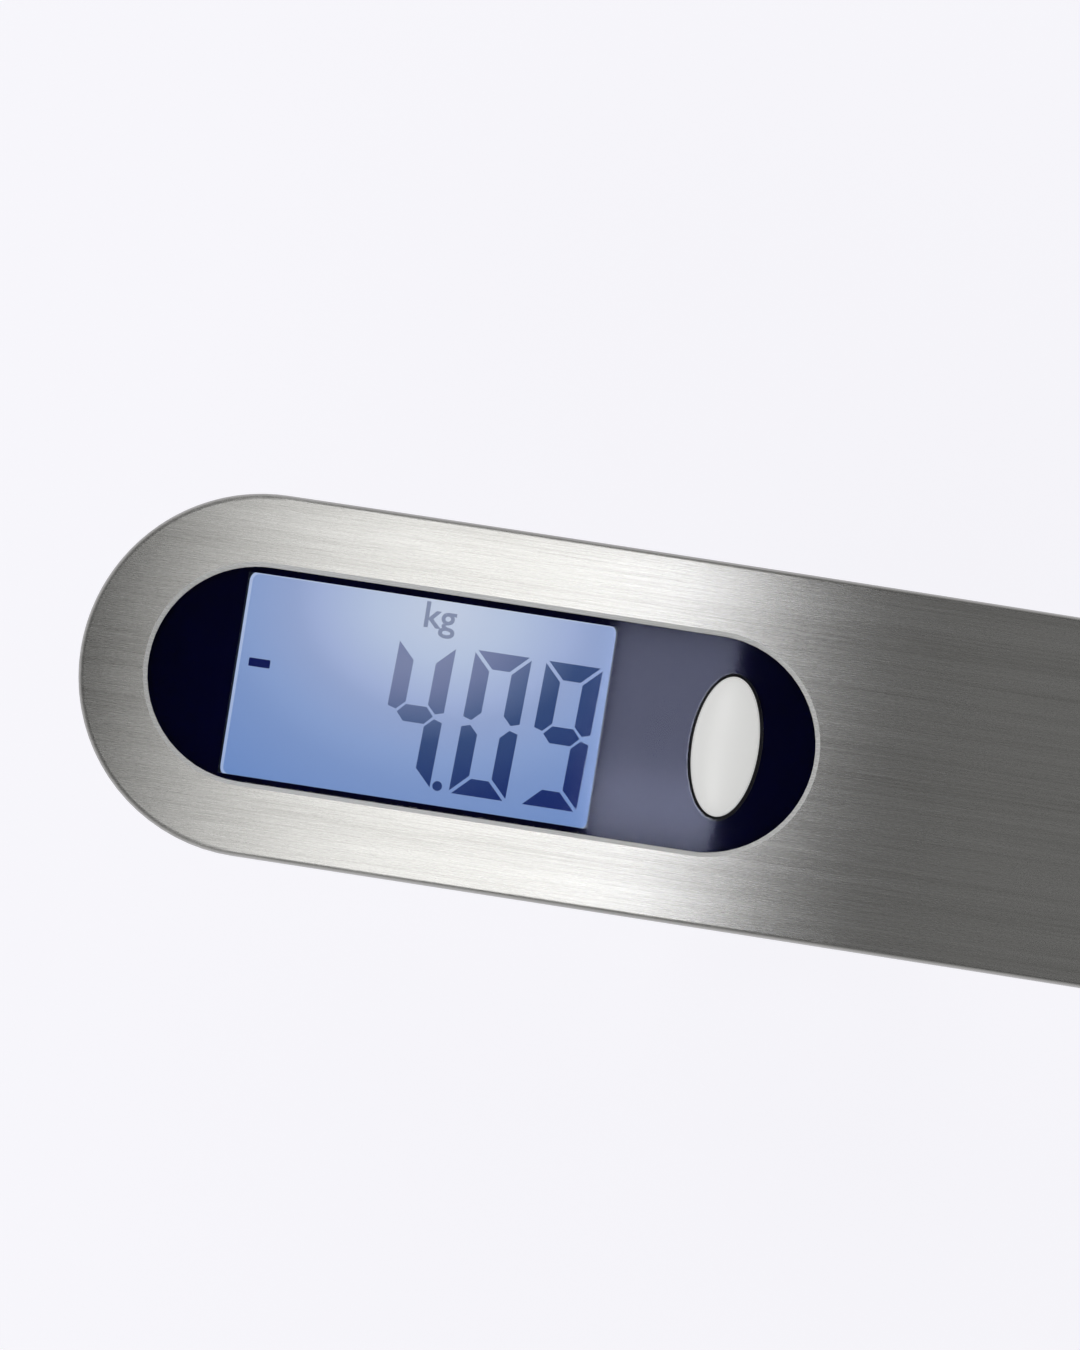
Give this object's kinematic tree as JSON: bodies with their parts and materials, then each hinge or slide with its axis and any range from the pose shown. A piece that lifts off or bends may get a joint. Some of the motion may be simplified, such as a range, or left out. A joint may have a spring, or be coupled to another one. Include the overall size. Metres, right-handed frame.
{
  "type": "digital luggage scale",
  "caption": "Bar-type digital luggage scale: brushed steel face, backlit display and oval button, with a webbing strap and swivelling snap hook below.",
  "frame": {"origin": "middle of the hand grip, halfway along, across and through the body", "axes": "+X along the body away from the display end, +Y across the body, +Z out of the metal face plate; the strap and hook hang along -Z"},
  "size_m": [0.158, 0.037, 0.1479],
  "materials": {
    "brushed_plate": "long-grain brushed stainless, satin",
    "case_plastic": "fine spark-eroded texture",
    "lens_plastic": "clear glossy acrylic",
    "mask_ink": "black-blue printed ink",
    "lcd_glass": "blue backlit display glass",
    "white_plastic": "white moulded holder",
    "light_guide": "milky acrylic",
    "led_body": "white lamp body",
    "zebra_rubber": "banded conductive silicone",
    "button_plastic": "pearl silver, glossy",
    "switch_plastic": "moulded switch body",
    "board": "green solder mask",
    "chip": "moulded chip",
    "smd": "small ceramic parts",
    "brass": "plain disc",
    "bright_metal": "bright can",
    "beam_alloy": "milled",
    "gauge_film": "amber film",
    "sealant": "white silicone",
    "lead_sleeve": "wire sleeve",
    "steel": "zinc-plated sheet steel",
    "screw_steel": "plated screw",
    "tape": "adhesive tape",
    "webbing": "woven polyester webbing",
    "hook_metal": "nickel-plated, satin",
    "spring_steel": "spring wire",
    "grip_rubber": "soft ribbed rubber",
    "cell_metal": "nickel-plated cell can",
    "contact_metal": "phosphor bronze"
  },
  "bodies": {
    "body": {"top_plate": "brushed_plate", "plate_tape": "tape", "upper_case": "case_plastic", "rear_cover": "case_plastic", "display_lens": "lens_plastic", "lens_mask": "mask_ink", "lcd_panel": "lcd_glass", "lcd_frame": "white_plastic", "backlight_panel": "light_guide", "backlight_led": "led_body", "zebra_strips": "zebra_rubber", "tact_switch_body": "switch_plastic", "circuit_board": "board", "board_screws": "screw_steel", "controller_chip": "chip", "amplifier_chip": "chip", "board_components": "smd", "crystal_can": "bright_metal", "buzzer_disc": "brass", "load_beam": "beam_alloy", "strain_gauges": "gauge_film", "gauge_sealant": "sealant", "gauge_leads": "lead_sleeve", "beam_spacers": "steel", "beam_screws": "screw_steel", "steel_chassis": "steel", "chassis_screws": "screw_steel", "pull_stirrup": "steel", "stirrup_bolt": "screw_steel", "strap_rod": "hook_metal", "case_screws": "screw_steel", "coin_cell": "cell_metal", "battery_contact_plus": "contact_metal", "battery_contact_minus": "contact_metal", "battery_leads": "lead_sleeve", "grip_pad": "grip_rubber"},
    "button": {"power_button": "button_plastic"},
    "switch_plunger": {"tact_switch_plunger": "white_plastic"},
    "door": {"battery_door": "case_plastic"},
    "strap": {"webbing_strap": "webbing"},
    "eye": {"swivel_eye": "hook_metal"},
    "hook": {"snap_hook": "hook_metal", "gate_pin": "steel", "gate_spring": "spring_steel"},
    "gate": {"hook_gate": "hook_metal"}
  },
  "joints": [
    {"name": "button_press", "type": "slide", "parent": "body", "child": "button", "axis": [0, 0, -1], "range_m": [0, 0.0003], "stiffness_N_per_m": 4000, "springref_m": -0.00005},
    {"name": "switch_press", "type": "slide", "parent": "body", "child": "switch_plunger", "axis": [0.085, 0, -0.9964], "range_m": [0, 0.0003]},
    {"name": "battery_door_hinge", "type": "hinge", "parent": "body", "child": "door", "pos_m": [0.0603, 0, -0.0115], "axis": [0, -1, 0], "range_deg": [0, 95]},
    {"name": "strap_swing", "type": "hinge", "parent": "body", "child": "strap", "pos_m": [0, 0, -0.0102], "axis": [1, 0, 0], "range_deg": [-60, 60]},
    {"name": "eye_swing", "type": "hinge", "parent": "strap", "child": "eye", "pos_m": [0, 0, -0.068], "axis": [1, 0, 0], "range_deg": [-80, 80]},
    {"name": "hook_swivel", "type": "hinge", "parent": "eye", "child": "hook", "pos_m": [0, 0, -0.083], "axis": [0, 0, 1], "continuous": true},
    {"name": "gate_hinge", "type": "hinge", "parent": "hook", "child": "gate", "pos_m": [0.0095, 0, -0.0965], "axis": [0, 1, 0], "range_deg": [0, 35], "stiffness_Nm_per_rad": 0.02, "springref_deg": -20.05}
  ],
  "couplings": [
    {"joint": "switch_press", "follows": "button_press", "ratio": 1}
  ]
}
